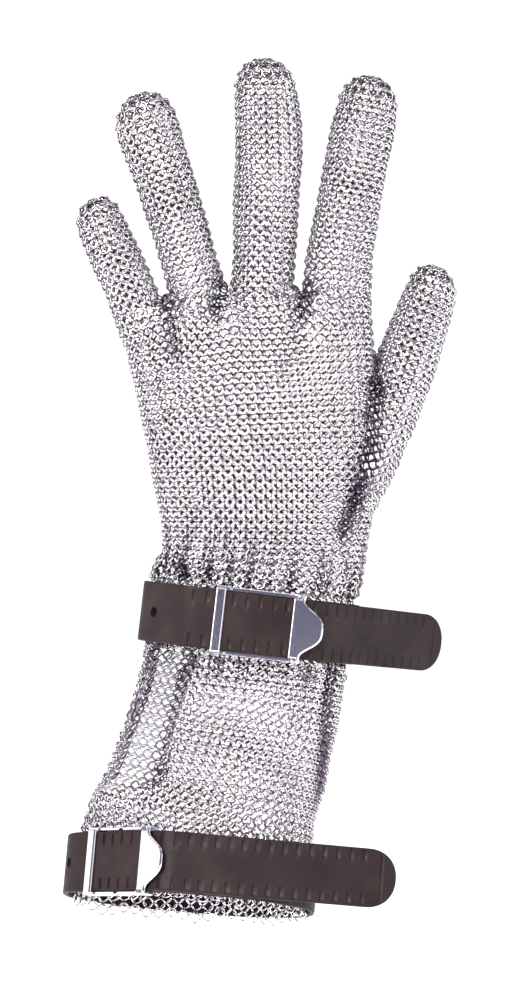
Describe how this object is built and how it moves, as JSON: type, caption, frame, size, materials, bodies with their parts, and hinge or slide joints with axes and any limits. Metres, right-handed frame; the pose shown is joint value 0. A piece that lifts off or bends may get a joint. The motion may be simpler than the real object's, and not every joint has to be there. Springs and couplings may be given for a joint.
{
  "type": "chainmail glove",
  "caption": "Left-hand ring-mesh protective glove with a long slit cuff, closed by rubber straps with lever buckles.",
  "frame": {"origin": "centre of the cuff opening, where the hand goes in", "axes": "+Z along the glove towards the fingertips, -Y out of the back of the hand, +X towards the thumb side"},
  "size_m": [0.1378, 0.0758, 0.3024],
  "materials": {
    "stainless_ring_mesh": "bright tumbled stainless rings",
    "strap_rubber": "satin moulded dark brown elastomer",
    "stainless_sheet": "satin stamped sheet with bright edges"
  },
  "bodies": {
    "root": {"mail_cuff": "stainless_ring_mesh", "mail_hand": "stainless_ring_mesh", "mail_little_finger": "stainless_ring_mesh", "mail_ring_finger": "stainless_ring_mesh", "mail_middle_finger": "stainless_ring_mesh", "mail_index_finger": "stainless_ring_mesh", "mail_thumb": "stainless_ring_mesh", "cuff_strap": "strap_rubber", "wrist_strap": "strap_rubber", "cuff_buckle_frame": "stainless_sheet", "wrist_buckle_frame": "stainless_sheet"},
    "cuff_lever": {"cuff_buckle_lever": "stainless_sheet"},
    "wrist_lever": {"wrist_buckle_lever": "stainless_sheet"}
  },
  "joints": [
    {"name": "cuff_lever_hinge", "type": "hinge", "parent": "root", "child": "cuff_lever", "pos_m": [-0.01621, -0.03017, 0.01844], "axis": [-0.084, -0.1822, -0.9797], "range_deg": [0, 90]},
    {"name": "wrist_lever_hinge", "type": "hinge", "parent": "root", "child": "wrist_lever", "pos_m": [0.03576, -0.019, 0.09686], "axis": [-0.1149, -0.0175, -0.9932], "range_deg": [0, 90]}
  ]
}
